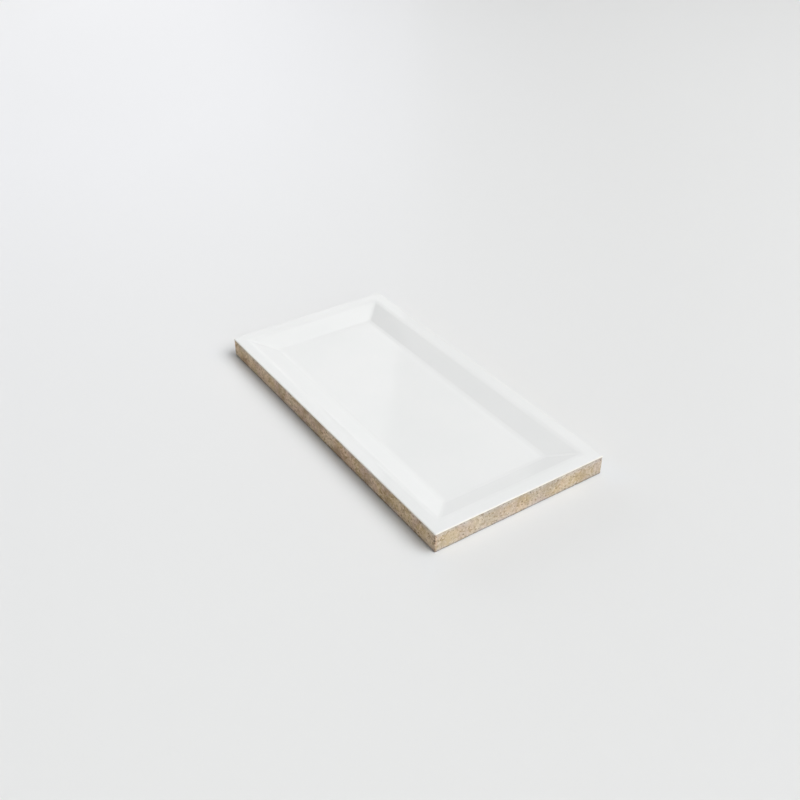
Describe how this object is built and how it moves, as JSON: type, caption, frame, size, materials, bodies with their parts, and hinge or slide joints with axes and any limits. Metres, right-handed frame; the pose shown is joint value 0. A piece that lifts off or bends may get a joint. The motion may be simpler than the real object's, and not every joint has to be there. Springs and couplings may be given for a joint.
{
  "type": "beveled wall tile",
  "caption": "Rectangular glazed ceramic wall tile with a flat rim, inward bevels and a sunken flat panel, bare biscuit edges and a keyed back.",
  "frame": {"origin": "centre of the back, on the plane that the ribs rest on", "axes": "+X along the length, +Y across the width, +Z out of the glazed face"},
  "size_m": [0.15, 0.075, 0.0082],
  "materials": {
    "glazed_body": "gloss white glaze on the face, bare tan biscuit on the edges and the back"
  },
  "bodies": {
    "root": {"tile": "glazed_body"}
  },
  "joints": []
}
